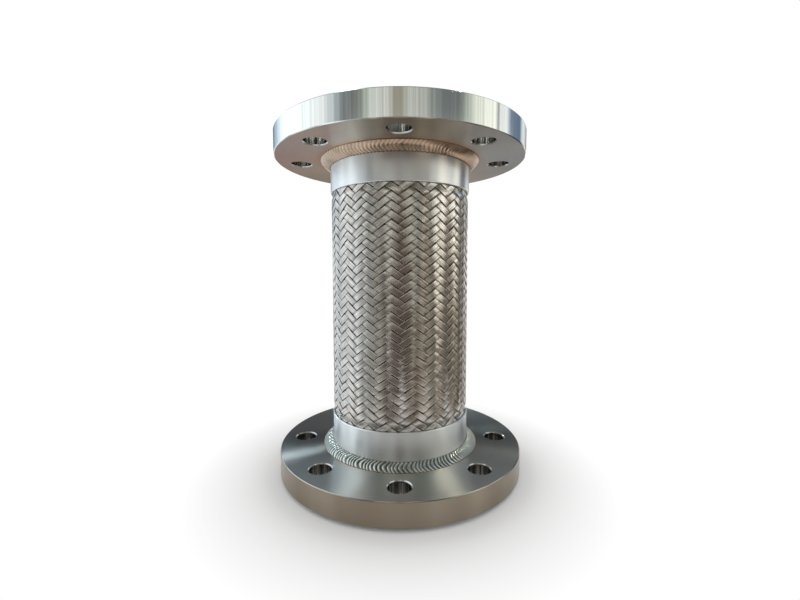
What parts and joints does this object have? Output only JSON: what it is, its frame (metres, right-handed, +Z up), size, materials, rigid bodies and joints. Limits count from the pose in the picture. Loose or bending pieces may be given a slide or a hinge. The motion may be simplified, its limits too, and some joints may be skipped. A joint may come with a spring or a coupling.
{
  "type": "flanged metal hose",
  "caption": "Flanged metal hose: corrugated steel bellows in a woven wire braid, with a bolted plate flange at each end, for pipework that shakes or shifts.",
  "frame": {"origin": "centre of the lower flange's raised gasket face, which the hose stands on", "axes": "+Z up along the hose from the lower to the upper flange; one bolt hole of each flange lies towards -Y, where the picture was taken from; +X to the picture's right"},
  "size_m": [0.22, 0.22, 0.3],
  "materials": {
    "flange_steel": "turned stainless steel, near mirror on the rim and satin on the faces",
    "pipe_steel": "pickled stainless pipe, satin",
    "collar_steel": "smooth satin stainless strip",
    "weld_steel": "bright rippled stainless weld bead",
    "bellows_steel": "bright rolled stainless strip",
    "braid_steel": "bundles of fine drawn stainless wires, bright on the crowns and dark in the gaps"
  },
  "bodies": {
    "root": {"lower_flange": "flange_steel", "upper_flange": "flange_steel", "lower_stub": "pipe_steel", "upper_stub": "pipe_steel", "lower_bore_weld": "weld_steel", "upper_bore_weld": "weld_steel", "lower_cap_weld": "weld_steel", "upper_cap_weld": "weld_steel", "lower_collar": "collar_steel", "upper_collar": "collar_steel", "lower_collar_weld": "weld_steel", "upper_collar_weld": "weld_steel", "bellows": "bellows_steel", "braid": "braid_steel"}
  },
  "joints": []
}
